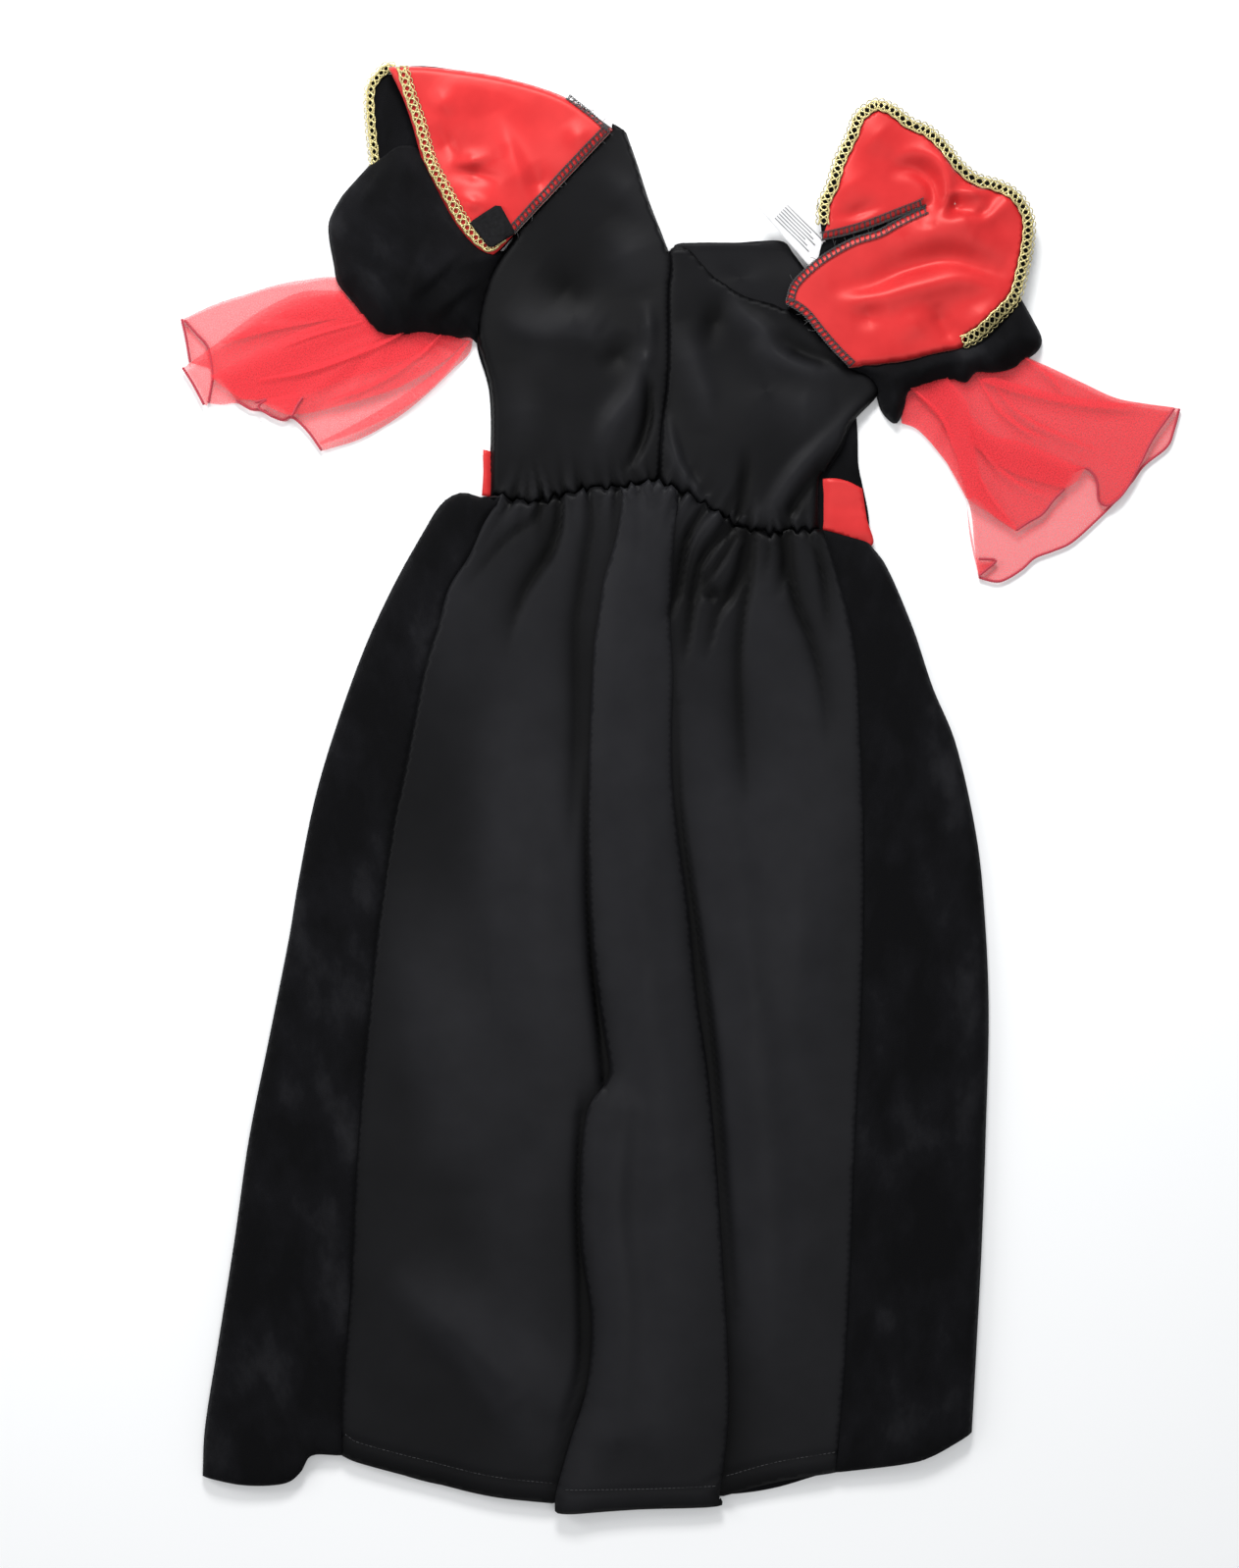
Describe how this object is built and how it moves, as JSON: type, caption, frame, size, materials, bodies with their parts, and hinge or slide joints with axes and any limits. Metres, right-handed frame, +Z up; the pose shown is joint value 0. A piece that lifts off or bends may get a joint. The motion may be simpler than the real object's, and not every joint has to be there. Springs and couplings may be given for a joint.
{
  "type": "fancy-dress gown with pointed collars",
  "caption": "Child's full-length black satin and velvet costume gown with red satin collars, puff sleeves and organza flounces, laid flat back side up.",
  "frame": {"origin": "on the floor under the middle of the bounding box", "axes": "+Y from the hem to the collars, +X to the right seen from above, +Z up off the floor, back of the gown up"},
  "size_m": [0.716, 1.0281, 0.038],
  "materials": {
    "black_satin": "black polyester satin, soft sheen",
    "velvet": "black crushed velvet, matte with a patchy nap",
    "red_satin": "bright red satin",
    "organza": "sheer red organza",
    "hem_cord": "dark red rolled and overlocked hem",
    "gold_lace": "metallic gold thread lace",
    "overlock_thread": "black polyester thread",
    "hook_loop_tape": "black woven hook-and-loop tape",
    "stiffener": "white bonded interfacing",
    "elastic": "white knitted elastic",
    "label_tape": "white woven ribbon"
  },
  "bodies": {
    "skirt": {"front_skirt": "velvet", "skirt_side_left": "velvet", "back_skirt_left": "black_satin", "back_skirt_centre": "black_satin", "back_skirt_right": "black_satin", "skirt_side_right": "velvet"},
    "bodice": {"waist_casing": "black_satin", "waist_elastic": "elastic", "sash": "red_satin", "front_bodice": "velvet", "front_neck_facing": "black_satin", "back_bodice_left": "black_satin", "back_bodice_right": "black_satin", "puff_left": "velvet", "cuff_left": "organza", "cuff_elastic_left": "elastic", "puff_right": "velvet", "cuff_right": "organza", "cuff_elastic_right": "elastic"},
    "left_collar": {"collar_left_backing": "velvet", "collar_left_stiffener": "stiffener", "collar_left_facing": "red_satin", "collar_left_trim_upper": "gold_lace", "collar_left_trim_lower": "gold_lace", "collar_left_overlock": "overlock_thread", "hook_tape": "hook_loop_tape"},
    "right_collar": {"collar_right_backing": "velvet", "collar_right_stiffener": "stiffener", "collar_right_facing": "red_satin", "collar_right_trim": "gold_lace", "collar_right_overlock_upper": "overlock_thread", "collar_right_overlock_lower": "overlock_thread", "loop_tape": "hook_loop_tape"},
    "left_flounce": {"flounce_left": "organza", "flounce_hem_left": "hem_cord"},
    "right_flounce": {"flounce_right": "organza", "flounce_hem_right": "hem_cord"},
    "label": {"care_label": "label_tape"}
  },
  "joints": [
    {"name": "waist_fold", "type": "hinge", "parent": "skirt", "child": "bodice", "pos_m": [0, 0.1746, 0.0122], "axis": [0.9863, -0.1649, 0], "range_deg": [0, 105]},
    {"name": "left_collar_turn", "type": "hinge", "parent": "bodice", "child": "left_collar", "pos_m": [-0.0835, 0.42825, 0.0123], "axis": [0.6795, 0.7337, 0], "range_deg": [0, 90]},
    {"name": "right_collar_turn", "type": "hinge", "parent": "bodice", "child": "right_collar", "pos_m": [0.097, 0.318, 0.0123], "axis": [0.7071, -0.7071, 0], "range_deg": [0, 90]},
    {"name": "left_flounce_lift", "type": "hinge", "parent": "bodice", "child": "left_flounce", "pos_m": [-0.232, 0.32325, 0.0094], "axis": [-0.9193, 0.3935, 0], "range_deg": [0, 60]},
    {"name": "right_flounce_lift", "type": "hinge", "parent": "bodice", "child": "right_flounce", "pos_m": [0.20625, 0.27675, 0.0094], "axis": [-0.8877, -0.4605, 0], "range_deg": [0, 60]},
    {"name": "care_label_flip", "type": "hinge", "parent": "right_collar", "child": "label", "pos_m": [0.10015, 0.37475, 0.011], "axis": [0.7022, 0.712, 0], "range_deg": [0, 85]}
  ]
}
